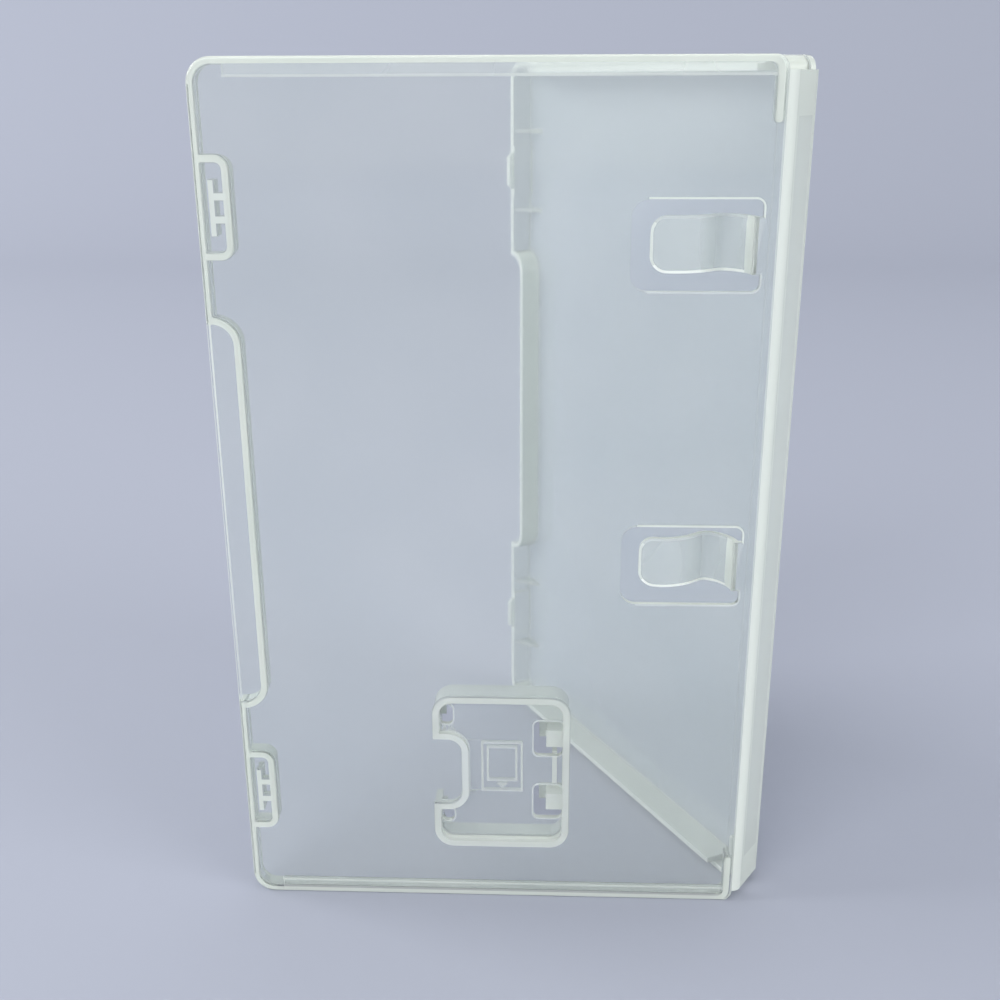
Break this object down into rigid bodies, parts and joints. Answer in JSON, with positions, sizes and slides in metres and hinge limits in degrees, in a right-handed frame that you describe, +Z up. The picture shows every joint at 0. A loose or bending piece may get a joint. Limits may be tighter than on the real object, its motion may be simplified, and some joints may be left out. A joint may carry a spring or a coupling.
{
  "type": "game card case",
  "caption": "Clear moulded case for a game card: a back cover with card holder and booklet clips and a front cover with snap hooks, folding on a spine.",
  "frame": {"origin": "on the floor under the middle of the standing, open case", "axes": "+X along the back cover towards the spine, +Y from the back cover's outer face into the case, +Z up along the hinges"},
  "size_m": [0.1098, 0.0994, 0.17],
  "materials": {
    "clear_polypropylene": "clear polypropylene, slightly milky"
  },
  "bodies": {
    "back_cover": {"back_cover": "clear_polypropylene", "back_living_hinge": "clear_polypropylene"},
    "spine": {"spine": "clear_polypropylene", "front_living_hinge": "clear_polypropylene"},
    "front_cover": {"front_cover": "clear_polypropylene"}
  },
  "joints": [
    {"name": "back_hinge", "type": "hinge", "parent": "back_cover", "child": "spine", "pos_m": [0.04961, -0.04965, 0.085], "axis": [0, 0, 1], "range_deg": [-58, 32], "deforming": ["back_living_hinge"]},
    {"name": "front_hinge", "type": "hinge", "parent": "spine", "child": "front_cover", "pos_m": [0.05523, -0.04066, 0.085], "axis": [0, 0, 1], "range_deg": [-62, 28], "deforming": ["front_living_hinge"]}
  ]
}
